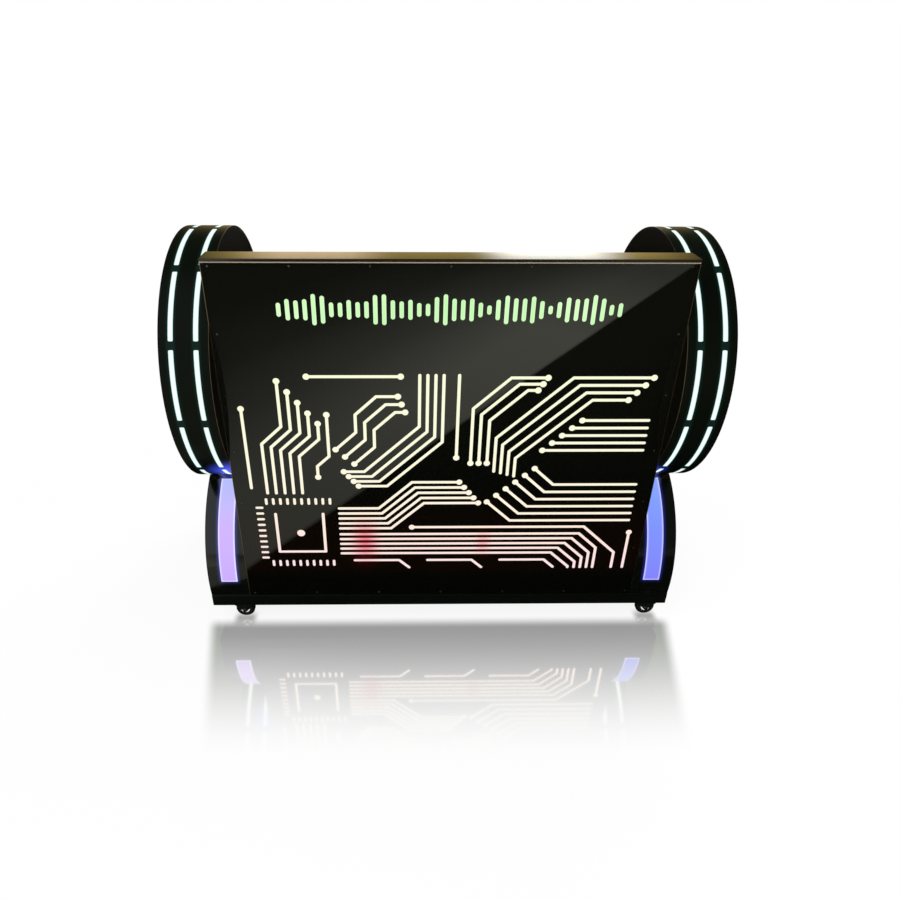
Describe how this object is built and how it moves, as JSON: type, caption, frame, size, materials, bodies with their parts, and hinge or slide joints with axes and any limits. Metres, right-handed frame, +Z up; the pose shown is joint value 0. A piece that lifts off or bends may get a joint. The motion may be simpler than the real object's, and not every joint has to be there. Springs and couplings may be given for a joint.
{
  "type": "dj booth",
  "caption": "Mobile dj booth: upright front light box with lit inlays between slotted light drums on columns, work table and shelves behind, on locking casters.",
  "frame": {"origin": "on the floor under the common axis of the side drums, midway between them", "axes": "+Z up, -Y out of the front panel towards the audience, +X to the right as the audience sees it"},
  "size_m": [1.5, 0.758, 1.21],
  "materials": {
    "panel_black": "black satin-gloss acrylic sheet",
    "line_glow": "lit opal acrylic, warm white to amber",
    "meter_glow": "lit opal acrylic, green",
    "screw_steel": "plain steel pan-head screws and bolts",
    "board_black": "board with black satin lacquer",
    "board_plain": "bare plywood and softwood",
    "light_bar": "white strip carrying small lights",
    "ledge_gloss": "high-gloss black",
    "lip_bright": "bright rounded trim",
    "drum_black": "black satin moulded sheet",
    "drum_glow": "lit opal acrylic, cool white",
    "column_glow": "lit opal acrylic, blue to violet",
    "supply_metal": "plain folded sheet",
    "control_plastic": "fine-textured black",
    "button_plastic": "satin dark grey",
    "power_metal": "black powder coat",
    "rocker_plastic": "gloss black",
    "caster_steel": "zinc-plated turned steel",
    "wheel_rubber": "black rubber tyre on a dark grey hub",
    "pedal_black": "black coated pressed steel"
  },
  "bodies": {
    "booth": {"front_panel": "panel_black", "line_lights": "line_glow", "meter_lights": "meter_glow", "panel_screws": "screw_steel", "light_box_battens": "board_plain", "light_box_back": "board_black", "light_box_led_bars": "light_bar", "top_ledge": "ledge_gloss", "ledge_lip": "lip_bright", "base_board": "board_black", "right_cheek": "board_black", "left_cheek": "board_black", "drum_bolts": "screw_steel", "work_table": "board_black", "lower_shelf": "board_black", "centre_upright": "board_black", "table_apron": "board_black", "board_cleats": "board_plain", "column_led_bars": "light_bar", "power_supply": "supply_metal", "light_controller": "control_plastic", "power_box": "power_metal", "power_inlet": "control_plastic", "caster_plates": "pedal_black", "right_drum_rim": "drum_black", "right_drum_diffuser": "drum_glow", "right_drum_inner_face": "board_black", "right_drum_outer_face": "board_black", "right_drum_core": "board_plain", "right_drum_led_tapes": "light_bar", "right_column_shell": "board_black", "right_column_light": "column_glow", "left_drum_rim": "drum_black", "left_drum_diffuser": "drum_glow", "left_drum_inner_face": "board_black", "left_drum_outer_face": "board_black", "left_drum_core": "board_plain", "left_drum_led_tapes": "light_bar", "left_column_shell": "board_black", "left_column_light": "column_glow"},
    "front_left_swivel": {"front_left_caster_fork": "pedal_black", "front_left_caster_axle": "caster_steel"},
    "front_left_wheel": {"front_left_caster_wheel": "wheel_rubber"},
    "front_left_brake": {"front_left_caster_brake": "pedal_black"},
    "front_right_swivel": {"front_right_caster_fork": "pedal_black", "front_right_caster_axle": "caster_steel"},
    "front_right_wheel": {"front_right_caster_wheel": "wheel_rubber"},
    "front_right_brake": {"front_right_caster_brake": "pedal_black"},
    "rear_left_swivel": {"rear_left_caster_fork": "pedal_black", "rear_left_caster_axle": "caster_steel"},
    "rear_left_wheel": {"rear_left_caster_wheel": "wheel_rubber"},
    "rear_left_brake": {"rear_left_caster_brake": "pedal_black"},
    "rear_right_swivel": {"rear_right_caster_fork": "pedal_black", "rear_right_caster_axle": "caster_steel"},
    "rear_right_wheel": {"rear_right_caster_wheel": "wheel_rubber"},
    "rear_right_brake": {"rear_right_caster_brake": "pedal_black"},
    "mode_button": {"mode_button": "button_plastic"},
    "colour_button": {"colour_button": "button_plastic"},
    "power_rocker": {"power_rocker": "rocker_plastic"}
  },
  "joints": [
    {"name": "front_left_swivel_turn", "type": "hinge", "parent": "booth", "child": "front_left_swivel", "pos_m": [-0.673, -0.276, 0.0705], "axis": [0, 0, 1], "continuous": true},
    {"name": "front_left_wheel_roll", "type": "hinge", "parent": "front_left_swivel", "child": "front_left_wheel", "pos_m": [-0.651, -0.276, 0.031], "axis": [0, 1, 0], "continuous": true},
    {"name": "front_left_brake_tilt", "type": "hinge", "parent": "front_left_swivel", "child": "front_left_brake", "pos_m": [-0.623, -0.276, 0.059], "axis": [0, -1, 0], "range_deg": [0, 20]},
    {"name": "front_right_swivel_turn", "type": "hinge", "parent": "booth", "child": "front_right_swivel", "pos_m": [0.673, -0.276, 0.0705], "axis": [0, 0, 1], "continuous": true},
    {"name": "front_right_wheel_roll", "type": "hinge", "parent": "front_right_swivel", "child": "front_right_wheel", "pos_m": [0.695, -0.276, 0.031], "axis": [0, 1, 0], "continuous": true},
    {"name": "front_right_brake_tilt", "type": "hinge", "parent": "front_right_swivel", "child": "front_right_brake", "pos_m": [0.723, -0.276, 0.059], "axis": [0, -1, 0], "range_deg": [0, 20]},
    {"name": "rear_left_swivel_turn", "type": "hinge", "parent": "booth", "child": "rear_left_swivel", "pos_m": [-0.673, 0.307, 0.0705], "axis": [0, 0, 1], "continuous": true},
    {"name": "rear_left_wheel_roll", "type": "hinge", "parent": "rear_left_swivel", "child": "rear_left_wheel", "pos_m": [-0.651, 0.307, 0.031], "axis": [0, 1, 0], "continuous": true},
    {"name": "rear_left_brake_tilt", "type": "hinge", "parent": "rear_left_swivel", "child": "rear_left_brake", "pos_m": [-0.623, 0.307, 0.059], "axis": [0, -1, 0], "range_deg": [0, 20]},
    {"name": "rear_right_swivel_turn", "type": "hinge", "parent": "booth", "child": "rear_right_swivel", "pos_m": [0.673, 0.307, 0.0705], "axis": [0, 0, 1], "continuous": true},
    {"name": "rear_right_wheel_roll", "type": "hinge", "parent": "rear_right_swivel", "child": "rear_right_wheel", "pos_m": [0.695, 0.307, 0.031], "axis": [0, 1, 0], "continuous": true},
    {"name": "rear_right_brake_tilt", "type": "hinge", "parent": "rear_right_swivel", "child": "rear_right_brake", "pos_m": [0.723, 0.307, 0.059], "axis": [0, -1, 0], "range_deg": [0, 20]},
    {"name": "mode_button_press", "type": "slide", "parent": "booth", "child": "mode_button", "axis": [0, 0, 1], "range_m": [-0.0015, 0], "stiffness_N_per_m": 400},
    {"name": "colour_button_press", "type": "slide", "parent": "booth", "child": "colour_button", "axis": [0, 0, 1], "range_m": [-0.0015, 0], "stiffness_N_per_m": 400},
    {"name": "power_rocker_tilt", "type": "hinge", "parent": "booth", "child": "power_rocker", "pos_m": [0.44, 0.349, 0.172], "axis": [1, 0, 0], "range_deg": [-18, 0]}
  ]
}
